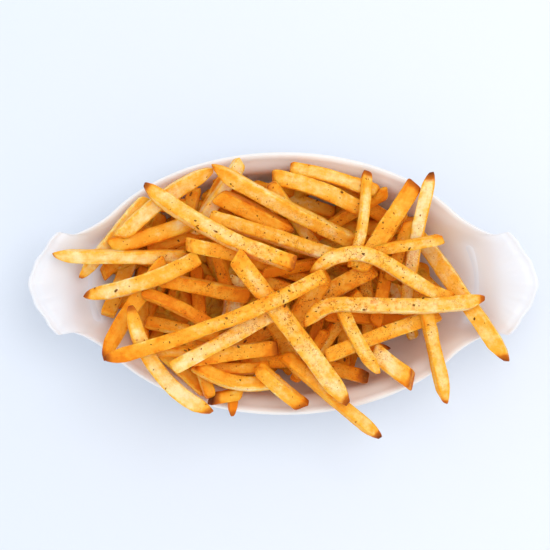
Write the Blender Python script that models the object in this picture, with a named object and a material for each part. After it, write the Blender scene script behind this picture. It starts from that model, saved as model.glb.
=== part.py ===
"""A portion of french fries heaped in an oval white dish with two shell-shaped handles.

Metres, +Z up. The dish stands on the plane z = 0, centred on the origin, its handles along X.
Two closed solids are made: "dish", and "fries", the whole heap out to its uneven outline.
"""

import math

import bmesh
import bpy
import numpy as np

MM = 0.001
MERGE = 0.000005
FLAT_ANGLE = math.radians(0.3)
SHARP_ANGLE = math.radians(40)

# ---------------------------------------------------------------- dish, in millimetres
RIM_HEIGHT = 40.0
RIM_HALF_LENGTH = 96.0
RIM_HALF_WIDTH = 61.8
CAVITY_HALF_LENGTH = 92.0
CAVITY_HALF_WIDTH = 57.8
EAR_TIP = (120.0, 0.0)
EAR_TIP_HANDLE = (120.0, 7.2)
EAR_FLANK_HANDLE = (115.6, 13.0)
EAR_CORNER = (107.6, 23.9)
EAR_CORNER_HANDLE = (105.6, 25.6)
NOTCH_HANDLE = (102.5, 22.4)
EAR_NOTCH = (100.3, 22.8)
EAR_LEAVE_HANDLE = (97.5, 23.2)
EAR_FAN = 54.0
EAR_RISE = 3.0
EAR_RISE_START = 90.0
EAR_RISE_LENGTH = 30.0
CAVITY_TIP = 101.5
CAVITY_END_RADIUS = 46.7
CAVITY_END_ANGLE = 22.0
CAVITY_LEAVE_STEP = (-1.9, 4.6)
FLANK_START = 80.0
FLANK_ARRIVE = 9.0
CAVITY_FLANK_START = 76.0
CAVITY_FLANK_ARRIVE = 10.0
FLUTE_COUNT = 7
FLUTE_DEPTH = 0.7
FLUTE_HUB = 82.0
FLUTE_START = 99.0
FLUTE_FADE = 9.0
DISH_DETAIL = 2
LEAST_TURN = 0.12  # degrees between neighbouring points of a ring
UNDER_RIM = 6.5  # how far below the rim its underside meets the wall

# Half length, half width and height of the rings up the outside.
OUTSIDE = ((58, 36, 0), (60, 38, 0.8), (68, 44, 4), (78, 51, 12), (86, 56, 22), (92, 59.5, 31))
# The same down the inside, and how near each ring is to an oval (1) instead of the rim's form (0).
INSIDE = (
    (86, 52, 26, 0.35),
    (78, 47, 17, 0.6),
    (70, 42, 10.5, 0.8),
    (62, 37, 6.8, 0.95),
    (52, 30.5, 5, 1),
)

# Over the rim from its underside to the inner wall: place between the edge of the hollow (0) and the
# outline (1), distance drawn inward, depth below the rim's height, and share of the ribs' height.
RIM = (
    (1, 0.9, 3.6, 0.6),
    (1, 0, 1.9, 0.8),
    (1, 0.8, 0.4, 1),
    (0.72, 0, 0, 1),
    (0.45, 0, 0.3, 0.9),
    (0.2, 0, 1.0, 0.3),
    (0, 0, 2.0, 0),
    (0, 1.6, 3.0, 0),
    (0, 6.0, 6.0, 0),
)

# ---------------------------------------------------------------- fries, in millimetres
FRY_CLEARANCE = 0.6  # between the heap and the dish
FRY_SINK = 4.0  # how far a fry may press into the highest point under it
PRESSED_SHARE = 0.72  # of what is under a fry, the share that it lies clear of
MOST_SLOPE = 0.35
MOST_BEND = 1 / 300  # per mm: times its half length squared, how far a fry's ends bend down
LEAST_CURVE = 1.0  # a fry that bows or bends less than this is straight
FRY_DEPTH = 0.88  # height of a fry over its width
TIP_LENGTH = 0.9  # length of a tapered end over the fry's width
TIP_SIZE = 0.55  # width of the end itself over the fry's width
MOUND_CENTRE = (-12.0, -1.0)
MOUND_HALF_SIZE = (88.0, 51.0)
MOUND_TOP = 33.0
MOUND_POWER = 4.0
CELL = 1.0  # of the height map that the fries are laid on
MAP_HALF_LENGTH = 128
MAP_HALF_WIDTH = 84
SAMPLE = 0.7  # between the points at which a fry feels for its support
SLOPES_TRIED = 21
BENDS_TRIED = 9

# ---------------------------------------------------------------- core of the heap
CORE_SPOKES = 32
CORE_RINGS = (0.4, 0.7, 0.88)  # places between its middle and its edge
CORE_REACH = 110.0
CORE_STEP = 0.25
CORE_EDGE = 0.8  # its least thickness

PORCELAIN_COLOUR = (0.86, 0.87, 0.89)
PORCELAIN_ROUGHNESS = 0.15
POTATO_COLOUR = (0.80, 0.47, 0.13)
POTATO_ROUGHNESS = 0.55

# One row for each fry that shows: layer, width, first end x and y, last end x and y, and how far
# its middle bows to the left of the line between them. A higher layer lies on the lower ones.
FRIES = (
    # top left, and the long ones that lie across everything
    (8, 8.9, -65, 46, 5, 9, -3.8),
    (7, 8.9, -33, 54, 32, 20, -0.8),
    (6, 8.6, -33, 53, -76, 22, -2.6),
    (4, 7.0, -64, 40, -95, 3, -0.6),
    (3, 7.0, -57, 31, -85, 5, 0),
    (6, 7.5, -107, 13.4, -46, 12.6, -0.6),
    (5, 8.5, -81, 17, -38, 31, -1),
    (4, 6.6, -63, 16, -30, 26, 0),
    (7, 8.0, -92, -5, -40, 12, -3),
    (7.5, 7.0, -44, 18, -20, 13, 0),
    (9, 8.2, -83, -35, 19, 4, -3.6),
    (8, 10.3, -22, 12, 30, -56, 0.3),
    (5, 10.3, -22, 3, -25, -21, 0),
    (4, 7.8, -20, 57, -42, 24, 0.2),
    (3, 7.5, -42, 44, -50, 6, 0),
    # upper middle
    (5, 7.5, 3, 54, 44, 43, 1.1),
    (5, 8.0, -5, 50, 36, 35, 1.9),
    (4, 7.5, -14, 46, 24, 33, 0),
    (5, 6.6, -6, 47, 18, 13, 0),
    (6, 9.4, -31, 41, 3, 24, 0.6),
    (7, 8.0, -34, 31, 24, 13, 0.1),
    (5, 6.6, -10, 5, 35, 13, 0),
    (4, 6.6, -18, 11, 20, 0, 0),
    (4, 6.6, -16, 5, 14, -7, 0),
    # right
    (8, 7.6, 14, 5, 78, -5, 13.8),
    (9, 7.4, 94, -7, 13, -15, -3.2),
    (7, 8.9, 65, 21, 104, -36, 0.6),
    (7.5, 6.1, 74, 21, 42, 15, 0),
    (7, 6.6, 69, 52, 58, -8, -1.1),
    (6, 8.6, 61, 46, 35, 6, 0),
    (7, 5.9, 39, 52, 32, 8, 1.7),
    (4, 7.0, 49, 43, 12, 20, -0.8),
    (5, 9.4, 42, 7, 12, -9, 0),
    (4, 6.6, 38, 12, 41, -30, 0),
    (5, 6.6, 50, 12, 43, -20, 0),
    (7, 10.3, 20, 5, 3, -22, 0),
    (5, 6.6, 57, 34, 38, 9, 0),
    (5, 7.0, 60, 30, 50, 2, 0),
    (3, 7.0, -28, 50, -44, 20, 0),
    (3, 7.0, 20, 48, 50, 30, 0),
    # lower right
    (8, 7.0, 27, -11, 44, -42, -1),
    (6, 7.5, 80, -12, 20, -34, -0.9),
    (6, 7.8, 65.5, -8, 76, -56, 0.1),
    (5, 9.2, 28, -21, 59.5, -45, 0.9),
    (4, 5.2, 5, -32, 50, -30, 0),
    (3, 6.6, 52, 0, 62, -26, 0),
    (4, 7.5, -5, -33, 39, -44, 0),
    (4, 5.6, 20, -5, 11, -40, 0),
    (4, 7.0, 36, -4, 8, -44, 0),
    (3, 7.0, 30, -5, 28, -40, 0),
    (4, 6.6, 20, -15, 62, -18, 0),
    (5, 8.5, -7, -14, 9, -43, 0),
    (5, 7.0, -20, -37, 4, -36, 0),
    (4, 5.6, 20, -22, 5, -46, 0),
    (7, 7.5, 0, -33, 45.5, -72.5, -0.3),
    # lower left
    (7, 8.5, -22, -30, 9, -57, 1.5),
    (6, 8.0, -41, -38, -2, -45, -4.8),
    (6, 7.5, -42, -35, -3, -30, 0.3),
    (5, 6.1, -42, -37, -7, -39, -1.9),
    (4, 6.6, -32, -34, 5, -18, 0),
    (7.5, 7.8, -51, -39, -3, -13, -0.1),
    (6, 5.6, -67, -32, -38, -31, 0),
    (7, 7.8, -71, -11, -34, -60, -7.8),
    (6, 8.0, -84, -34, -55, 10, 1.7),
    (2, 7.5, -83, -15, -70, 16, 0.3),
    (6, 7.0, -66, -4, -32, -21, 1.3),
    (5, 7.0, -65, -18, -30, -26, 0.4),
    (6, 8.0, -57, 2, -16, -6, 0),
    (4, 6.6, -41, 8, -38, -30, 0),
    (5, 6.6, -33, 20, -26, -4, 0),
    (3, 6.6, -5, -49, -34, -54, 0),
    (2, 5.6, -23, -38, -24, -62, 0),
    (3, 6.6, -44, -25, -34, -53, 0),
)


# ---------------------------------------------------------------- outlines
def smooth_step(value):
    value = min(max(value, 0.0), 1.0)
    return value * value * (3 - 2 * value)


def bezier(points, count):
    """count points along a cubic curve, without its first point."""
    t = (np.arange(count) + 1)[:, None] / count
    a, b, c, d = (np.array(p, dtype=float) for p in points)
    return list(a * (1 - t) ** 3 + b * 3 * t * (1 - t) ** 2 + c * 3 * t * t * (1 - t) + d * t ** 3)


def end_arc(tip_x, radius, angle, count):
    """Points of an arc that starts square to the X axis at tip_x."""
    turns = [math.radians(angle) * i / count for i in range(count + 1)]
    return [np.array((tip_x - radius + radius * math.cos(t), radius * math.sin(t))) for t in turns]


def oval_arc(half_length, half_width, start_x, count):
    """From the point of an oval at start_x to the end of its short axis."""
    first = math.acos(start_x / half_length)
    turns = [first + (math.pi / 2 - first) * (i + 1) / count for i in range(count)]
    return [np.array((half_length * math.cos(t), half_width * math.sin(t))) for t in turns]


def flank(start, leave, half_length, half_width, join_x, arrive, count):
    """A curve from start, with leave as its first handle, that runs smoothly into an oval at join_x."""
    turn = math.acos(join_x / half_length)
    join = np.array((join_x, half_width * math.sin(turn)))
    along = np.array((-half_length * math.sin(turn), half_width * math.cos(turn)))
    along = along / np.linalg.norm(along)
    return bezier((start, leave, join - arrive * along, join), count)


def outline_quarter(detail):
    """The dish seen from above, from the tip of a handle to the middle of a long side."""
    points = [np.array(EAR_TIP)]
    points += bezier((EAR_TIP, EAR_TIP_HANDLE, EAR_FLANK_HANDLE, EAR_CORNER), 6 * detail)
    points += bezier((EAR_CORNER, EAR_CORNER_HANDLE, NOTCH_HANDLE, EAR_NOTCH), 2 * detail)
    oval = RIM_HALF_LENGTH, RIM_HALF_WIDTH
    points += flank(EAR_NOTCH, EAR_LEAVE_HANDLE, *oval, FLANK_START, FLANK_ARRIVE, 2 * detail)
    points += oval_arc(*oval, FLANK_START, 5 * detail)
    return np.array(points)


def cavity_radius(angles):
    """Distance from the centre to the edge of the hollow, at angles between 0 and a quarter turn."""
    points = end_arc(CAVITY_TIP, CAVITY_END_RADIUS, CAVITY_END_ANGLE, 20)
    shoulder = points[-1]
    oval = CAVITY_HALF_LENGTH, CAVITY_HALF_WIDTH
    leave = shoulder + CAVITY_LEAVE_STEP
    points += flank(shoulder, leave, *oval, CAVITY_FLANK_START, CAVITY_FLANK_ARRIVE, 20)
    points += oval_arc(*oval, CAVITY_FLANK_START, 40)
    points = np.array(points)
    return np.interp(angles, np.arctan2(points[:, 1], points[:, 0]), np.hypot(points[:, 0], points[:, 1]))


def oval_radius(angles, half_length, half_width):
    return half_length * half_width / np.hypot(half_width * np.cos(angles), half_length * np.sin(angles))


def quarter_angles(quarter):
    """Steadily rising angles that follow the outline, for the rings inside it."""
    angles = np.arctan2(quarter[:, 1], quarter[:, 0])
    for i in range(1, len(angles)):
        angles[i] = max(angles[i], angles[i - 1] + math.radians(LEAST_TURN))
    return angles * (math.pi / 2) / angles[-1]


def polar(angles, radii):
    return np.column_stack((radii * np.cos(angles), radii * np.sin(angles)))


def all_round(quarter):
    """Mirrors a quarter ring into a whole one."""
    left = quarter[::-1][1:] * (-1, 1)
    half = np.vstack((quarter, left))
    return np.vstack((half, half[::-1][1:-1] * (1, -1)))


def ear_rise(x):
    return EAR_RISE * smooth_step((abs(x) - EAR_RISE_START) / EAR_RISE_LENGTH)


def flute(x, y):
    """Height of the ribs that fan out over a handle."""
    fan = math.atan2(y, abs(x) - FLUTE_HUB)
    fade = smooth_step((abs(x) - FLUTE_START) / FLUTE_FADE)
    return FLUTE_DEPTH * fade * math.cos(fan * 180 / EAR_FAN * (FLUTE_COUNT - 1) / 2)


# ---------------------------------------------------------------- dish
def dish_rings(detail):
    """The rings of the dish, from the middle of its foot up the outside, over the rim and down inside."""
    quarter = outline_quarter(detail)
    angles = quarter_angles(quarter)
    outline = all_round(quarter)
    edge = all_round(polar(angles, cavity_radius(angles)))
    rings = []

    for half_length, half_width, height in OUTSIDE:
        points = all_round(polar(angles, oval_radius(angles, half_length, half_width)))
        rings.append([(x, y, height) for x, y in points])
    wall = np.array(rings[-1])[:, :2]
    under = (wall + outline) / 2
    rings.append([(x, y, RIM_HEIGHT - UNDER_RIM + ear_rise(x) / 2) for x, y in under])
    for outward, inset, depth, ribs in RIM:
        points = edge + (outline - edge) * outward
        points = points * (1 - inset / np.linalg.norm(points, axis=1)[:, None])
        height = RIM_HEIGHT - depth
        rings.append([(x, y, height + ear_rise(x) + ribs * flute(x, y)) for x, y in points])
    for half_length, half_width, height, roundness in INSIDE:
        round_ring = all_round(polar(angles, oval_radius(angles, half_length, half_width)))
        pointed_ring = edge * (half_length / CAVITY_TIP, half_width / CAVITY_HALF_WIDTH)
        points = round_ring * roundness + pointed_ring * (1 - roundness)
        rings.append([(x, y, height) for x, y in points])
    return rings


def closed_loft(rings):
    """A closed mesh through rings of equally many points, with a flat cap on the first and last."""
    mesh = bmesh.new()
    rows = [[mesh.verts.new(np.array(p) * MM) for p in ring] for ring in rings]
    count = len(rows[0])
    for low, high in zip(rows, rows[1:]):
        for i in range(count):
            j = (i + 1) % count
            mesh.faces.new((low[i], low[j], high[j], high[i]))
    mesh.faces.new(rows[0][::-1])
    mesh.faces.new(rows[-1])
    bmesh.ops.recalc_face_normals(mesh, faces=mesh.faces[:])
    return mesh


# ---------------------------------------------------------------- how the fries lie
def map_axes():
    x = np.arange(-MAP_HALF_LENGTH, MAP_HALF_LENGTH + CELL, CELL)
    y = np.arange(-MAP_HALF_WIDTH, MAP_HALF_WIDTH + CELL, CELL)
    return np.meshgrid(x, y)


def ring_radius(ring, angles):
    ring = np.array(ring)
    at = np.arctan2(ring[:, 1], ring[:, 0])
    order = np.argsort(at)
    return np.interp(angles, at[order], np.hypot(ring[:, 0], ring[:, 1])[order], period=2 * math.pi)


def dish_top(rings, x, y):
    """Height of the dish's upper side under each point, or 0 beside the dish."""
    angles = np.arctan2(y, x)
    distance = np.hypot(x, y)
    upper = rings[len(OUTSIDE) + 2:]
    height = np.zeros(x.shape)
    outer = ring_radius(upper[0], angles)
    outer_height = np.full(x.shape, RIM_HEIGHT + EAR_RISE / 2)
    for ring in upper[1:]:
        inner = ring_radius(ring, angles)
        level = max(p[2] for p in ring)
        share = np.clip((distance - inner) / np.maximum(outer - inner, 1e-6), 0, 1)
        inside = (distance <= outer) & (distance > inner)
        height = np.where(inside, level + (outer_height - level) * share, height)
        outer = inner
        outer_height = np.full(x.shape, level)
    return np.where(distance <= outer, rings[-1][0][2], height)


def mound(x, y):
    """The bulk of the heap, under the fries that show."""
    across = (x - MOUND_CENTRE[0]) / MOUND_HALF_SIZE[0]
    along = (y - MOUND_CENTRE[1]) / MOUND_HALF_SIZE[1]
    return MOUND_TOP * (1 - np.hypot(across, along) ** MOUND_POWER)


def fry_path(row, count):
    """Points along a fry in plan, and the distance of each from its first end."""
    _, _, x0, y0, x1, y1, bow = row
    first = np.array((x0, y0), dtype=float)
    last = np.array((x1, y1), dtype=float)
    length = np.linalg.norm(last - first)
    left = np.array((-(last - first)[1], (last - first)[0])) / length
    t = np.linspace(0, 1, count)[:, None]
    path = first + (last - first) * t + left * bow * 4 * t * (1 - t)
    steps = np.linalg.norm(np.diff(path, axis=0), axis=1)
    return path, np.concatenate(([0], np.cumsum(steps)))


def rest_curve(distance, hard, soft):
    """Height, slope and bend of the lowest gently bent line that lies on its support.

    It stays above hard, and presses into the peaks of soft by no more than FRY_SINK.
    """
    along = distance - distance[-1] / 2
    best = None
    for slope in np.linspace(-MOST_SLOPE, MOST_SLOPE, SLOPES_TRIED):
        for bend in np.linspace(-MOST_BEND, MOST_BEND / 4, BENDS_TRIED):
            shape = (slope * along + bend * along ** 2)[:, None]
            room = soft - shape
            height = max((hard - shape).max(), room.max() - FRY_SINK, np.quantile(room, PRESSED_SHARE))
            mean = height + shape.mean()
            if best is None or mean < best[0]:
                best = (mean, height, slope, bend)
    return best[1:]


def to_left(path):
    """Level unit vectors to the left of a path, at each of its points."""
    heading = np.gradient(path, axis=0)
    return np.column_stack((-heading[:, 1], heading[:, 0])) / np.linalg.norm(heading, axis=1)[:, None]


def footprint(row):
    """The lines and columns of the height map under a fry, and how far along it each of them is."""
    path, distance = fry_path(row, 2 + int(math.dist(row[2:4], row[4:6]) / SAMPLE))
    across = np.linspace(-row[1] / 2, row[1] / 2, 2 + int(row[1] / SAMPLE))
    spread = path[:, None, :] + to_left(path)[:, None, :] * across[None, :, None]
    line = np.rint(spread[..., 1] / CELL + MAP_HALF_WIDTH).astype(int)
    column = np.rint(spread[..., 0] / CELL + MAP_HALF_LENGTH).astype(int)
    return line, column, distance


def lay_fries(rings):
    """Lays each fry on the dish, the mound and the fries laid before: its height, slope and bend."""
    x, y = map_axes()
    hard = dish_top(rings, x, y) + FRY_CLEARANCE
    soft = mound(x, y)
    laid = {}
    for index in sorted(range(len(FRIES)), key=lambda i: FRIES[i][0]):
        row = FRIES[index]
        line, column, distance = footprint(row)
        height, slope, bend = rest_curve(distance, hard[line, column], soft[line, column])
        laid[index] = (height, slope, bend)
        along = distance - distance[-1] / 2
        top = height + slope * along + bend * along ** 2 + row[1] * FRY_DEPTH
        np.maximum.at(soft, (line, column), np.broadcast_to(top[:, None], line.shape))
    return laid


# ---------------------------------------------------------------- the heap
def add_fry(mesh, row, rest):
    """One fry as a square bar with tapered ends."""
    width = row[1]
    deep = width * FRY_DEPTH
    path, distance = fry_path(row, 51)
    left = to_left(path)
    length = distance[-1]
    height, slope, bend = rest
    tip = TIP_LENGTH * width
    curved = max(abs(row[6]), abs(bend) * length ** 2 / 4) > LEAST_CURVE
    stations = (0, tip, length / 2, length - tip, length) if curved else (0, tip, length - tip, length)
    rows = []
    for s in stations:
        size = TIP_SIZE if s in (0, length) else 1
        centre = np.array([np.interp(s, distance, path[:, k]) for k in (0, 1)])
        side = np.array([np.interp(s, distance, left[:, k]) for k in (0, 1)]) * width / 2 * size
        along = s - length / 2
        bottom = height + slope * along + bend * along ** 2 + deep * (1 - size) / 2
        top = bottom + deep * size
        near = centre + side
        far = centre - side
        corners = ((*near, bottom), (*far, bottom), (*far, top), (*near, top))
        rows.append([mesh.verts.new(np.array(corner) * MM) for corner in corners])
    for here, ahead in zip(rows, rows[1:]):
        for i in range(4):
            j = (i + 1) % 4
            mesh.faces.new((here[i], here[j], ahead[j], ahead[i]))
    mesh.faces.new(rows[0][::-1])
    mesh.faces.new(rows[-1])


def core_spoke(rings, turn):
    """Points of the core's lower and upper side along one direction, and the point where they meet."""
    reach = np.arange(0, CORE_REACH, CORE_STEP)
    x = reach * math.cos(turn)
    y = reach * math.sin(turn)
    floor = dish_top(rings, x, y) + FRY_CLEARANCE
    top = mound(x, y)
    last = int(np.argmax(top - floor < CORE_EDGE)) - 1
    at = [int(last * share) for share in CORE_RINGS]
    low = [(x[p], y[p], floor[p]) for p in at]
    high = [(x[p], y[p], top[p]) for p in at]
    return low, high, (x[last], y[last], floor[last] + CORE_EDGE / 2)


def core_mesh(rings):
    """The closed mound, which follows the inside of the dish below and swells above it."""
    mesh = bmesh.new()
    lows = []
    highs = []
    edge = []
    for k in range(CORE_SPOKES):
        low, high, meeting = core_spoke(rings, 2 * math.pi * k / CORE_SPOKES)
        lows.append([mesh.verts.new(np.array(p) * MM) for p in low])
        highs.append([mesh.verts.new(np.array(p) * MM) for p in high])
        edge.append(mesh.verts.new(np.array(meeting) * MM))
    middle = np.zeros(1)
    bottom = mesh.verts.new((0, 0, (dish_top(rings, middle, middle)[0] + FRY_CLEARANCE) * MM))
    top = mesh.verts.new((0, 0, mound(0, 0) * MM))
    for k in range(CORE_SPOKES):
        n = (k + 1) % CORE_SPOKES
        for rows, pole in ((lows, bottom), (highs, top)):
            mesh.faces.new((pole, rows[k][0], rows[n][0]))
            for s in range(len(CORE_RINGS) - 1):
                mesh.faces.new((rows[k][s], rows[k][s + 1], rows[n][s + 1], rows[n][s]))
            mesh.faces.new((rows[k][-1], edge[k], edge[n], rows[n][-1]))
    return mesh


# ---------------------------------------------------------------- objects
def plain_material(name, colour, roughness):
    material = bpy.data.materials.new(name)
    material.use_nodes = True
    shader = material.node_tree.nodes["Principled BSDF"]
    shader.inputs["Base Color"].default_value = (*colour, 1)
    shader.inputs["Roughness"].default_value = roughness
    shader.inputs["Metallic"].default_value = 0
    return material


def new_object(name, mesh, material=None):
    data = bpy.data.meshes.new(name)
    mesh.to_mesh(data)
    mesh.free()
    thing = bpy.data.objects.new(name, data)
    if material:
        data.materials.append(material)
    bpy.context.collection.objects.link(thing)
    return thing


def united(core, bars):
    """The bars and the core in one skin, as a mesh."""
    union = core.modifiers.new("Union", "BOOLEAN")
    union.operation = "UNION"
    union.solver = "EXACT"
    union.use_self = True
    union.object = bars
    mesh = bmesh.new()
    mesh.from_object(core, bpy.context.evaluated_depsgraph_get())
    bpy.data.objects.remove(bars)
    bpy.data.objects.remove(core)
    return mesh


def simplify(mesh):
    """Merges points that fall together and faces that lie in one plane."""
    bmesh.ops.remove_doubles(mesh, verts=mesh.verts[:], dist=MERGE)
    bmesh.ops.dissolve_degenerate(mesh, edges=mesh.edges[:], dist=MERGE)
    bmesh.ops.dissolve_limit(mesh, angle_limit=FLAT_ANGLE, verts=mesh.verts[:], edges=mesh.edges[:])
    bmesh.ops.triangulate(mesh, faces=mesh.faces[:])


def keep_outer_shell(mesh):
    """Removes the skins of the small gaps that are shut in between fries."""
    shells = []
    waiting = set(mesh.faces)
    while waiting:
        shell = {waiting.pop()}
        front = list(shell)
        while front:
            face = front.pop()
            near = {other for edge in face.edges for other in edge.link_faces} - shell
            shell |= near
            front += near
        waiting -= shell
        shells.append(shell)
    shells.sort(key=len)
    for shell in shells[:-1]:
        bmesh.ops.delete(mesh, geom=list(shell), context="FACES")


def triangulated(mesh):
    """The mesh in triangles that face outward, as the union needs it."""
    bmesh.ops.recalc_face_normals(mesh, faces=mesh.faces[:])
    bmesh.ops.triangulate(mesh, faces=mesh.faces[:])
    return mesh


def build_dish(rings):
    porcelain = plain_material("white porcelain", PORCELAIN_COLOUR, PORCELAIN_ROUGHNESS)
    dish = new_object("dish", closed_loft(rings), porcelain)
    dish.data.shade_smooth()
    dish.data.set_sharp_from_angle(angle=SHARP_ANGLE)


def build_fries(rings):
    bars = bmesh.new()
    laid = lay_fries(rings)
    for index, row in enumerate(FRIES):
        add_fry(bars, row, laid[index])
    bars = new_object("bars", triangulated(bars))
    core = new_object("core", triangulated(core_mesh(rings)))
    heap = united(core, bars)
    simplify(heap)
    keep_outer_shell(heap)
    new_object("fries", heap, plain_material("fried potato", POTATO_COLOUR, POTATO_ROUGHNESS))


def main():
    for thing in list(bpy.data.objects):
        bpy.data.objects.remove(thing)
    rings = dish_rings(DISH_DETAIL)
    build_dish(rings)
    build_fries(rings)


main()
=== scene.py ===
"""The looks of a portion of french fries in an oval white dish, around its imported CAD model."""

import math
import random

import bmesh
import bpy
import numpy as np
from mathutils import Matrix, Vector, noise
from mathutils.bvhtree import BVHTree


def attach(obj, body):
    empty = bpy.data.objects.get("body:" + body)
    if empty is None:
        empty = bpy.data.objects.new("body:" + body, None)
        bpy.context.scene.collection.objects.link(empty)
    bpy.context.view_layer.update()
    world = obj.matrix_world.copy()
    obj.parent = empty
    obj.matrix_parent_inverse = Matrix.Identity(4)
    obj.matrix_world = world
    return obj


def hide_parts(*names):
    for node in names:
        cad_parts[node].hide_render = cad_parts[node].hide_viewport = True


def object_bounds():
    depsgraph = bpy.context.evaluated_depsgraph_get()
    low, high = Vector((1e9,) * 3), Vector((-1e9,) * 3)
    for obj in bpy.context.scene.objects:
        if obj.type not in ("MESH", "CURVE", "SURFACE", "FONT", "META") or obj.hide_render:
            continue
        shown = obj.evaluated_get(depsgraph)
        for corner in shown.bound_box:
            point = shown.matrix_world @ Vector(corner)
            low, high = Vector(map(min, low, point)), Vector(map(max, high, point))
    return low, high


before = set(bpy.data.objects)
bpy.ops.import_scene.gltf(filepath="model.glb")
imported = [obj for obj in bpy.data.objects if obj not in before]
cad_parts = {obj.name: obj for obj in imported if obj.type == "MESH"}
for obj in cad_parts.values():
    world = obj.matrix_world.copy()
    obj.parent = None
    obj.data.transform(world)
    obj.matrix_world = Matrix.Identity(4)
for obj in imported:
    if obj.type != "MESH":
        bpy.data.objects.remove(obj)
CAD_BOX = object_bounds()

MM = 0.001

# ---------------------------------------------------------------- dish, in millimetres
RIM_HEIGHT = 40.0
RIM_HALF_LENGTH = 96.0
RIM_HALF_WIDTH = 61.8
CAVITY_HALF_LENGTH = 92.0
CAVITY_HALF_WIDTH = 57.8
EAR_TIP = (120.0, 0.0)
EAR_TIP_HANDLE = (120.0, 7.2)
EAR_FLANK_HANDLE = (115.6, 13.0)
EAR_CORNER = (107.6, 23.9)
EAR_CORNER_HANDLE = (105.6, 25.6)
NOTCH_HANDLE = (102.5, 22.4)
EAR_NOTCH = (100.3, 22.8)
EAR_LEAVE_HANDLE = (97.5, 23.2)
EAR_FAN = 54.0
EAR_RISE = 3.0
EAR_RISE_START = 90.0
EAR_RISE_LENGTH = 30.0
CAVITY_TIP = 101.5
CAVITY_END_RADIUS = 46.7
CAVITY_END_ANGLE = 22.0
CAVITY_LEAVE_STEP = (-1.9, 4.6)
FLANK_START = 80.0
FLANK_ARRIVE = 9.0
CAVITY_FLANK_START = 76.0
CAVITY_FLANK_ARRIVE = 10.0
FLUTE_COUNT = 7
FLUTE_DEPTH = 0.7
FLUTE_HUB = 82.0
FLUTE_START = 99.0
FLUTE_FADE = 9.0
LAYING_DETAIL = 2
DISH_DETAIL = 8
PROFILE_STEPS = 5
LEAST_TURN = 0.12
UNDER_RIM = 6.5

# Half length, half width and height of the rings up the outside.
OUTSIDE = ((58, 36, 0), (60, 38, 0.8), (68, 44, 4), (78, 51, 12), (86, 56, 22), (92, 59.5, 31))
# The same down the inside, and how near each ring is to an oval (1) instead of the rim's form (0).
INSIDE = (
    (86, 52, 26, 0.35),
    (78, 47, 17, 0.6),
    (70, 42, 10.5, 0.8),
    (62, 37, 6.8, 0.95),
    (52, 30.5, 5, 1),
)

# Over the rim from its underside to the inner wall: place between the edge of the hollow (0) and the
# outline (1), distance drawn inward, depth below the rim's height, and share of the ribs' height.
RIM = (
    (1, 0.9, 3.6, 0.6),
    (1, 0, 1.9, 0.8),
    (1, 0.8, 0.4, 1),
    (0.72, 0, 0, 1),
    (0.45, 0, 0.3, 0.9),
    (0.2, 0, 1.0, 0.3),
    (0, 0, 2.0, 0),
    (0, 1.6, 3.0, 0),
    (0, 6.0, 6.0, 0),
)

RIM_TOP_START = PROFILE_STEPS * (len(OUTSIDE) + 2)  # the outermost ring, once there are more of them

# The fine relief of a handle, which the CAD model leaves out.
BEAD_FROM_EDGE = 1.1
BEAD_WIDTH = 0.9
BEAD_HEIGHT = 0.6
GROOVE_FROM_EDGE = 3.4
GROOVE_WIDTH = 1.9
GROOVE_DEPTH = 0.6
FINE_RIBS = 9
FINE_RIB_HEIGHT = 0.3
LIP_ROUNDS = 60
LIP_FADE_RINGS = 3
SCALLOP_DEPTH = 0.6
SCALLOP_REACH = 8.0

# ---------------------------------------------------------------- fries, in millimetres
FRY_CLEARANCE = 0.6
FRY_SINK = 4.0
PRESSED_SHARE = 0.72
MOST_SLOPE = 0.35
MOST_BEND = 1 / 300
FRY_DEPTH = 0.88
MOUND_CENTRE = (-12.0, -1.0)
MOUND_HALF_SIZE = (88.0, 51.0)
MOUND_TOP = 33.0
MOUND_POWER = 4.0
CELL = 1.0
MAP_HALF_LENGTH = 128
MAP_HALF_WIDTH = 84
SAMPLE = 0.7
SLOPES_TRIED = 21
BENDS_TRIED = 9

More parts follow.
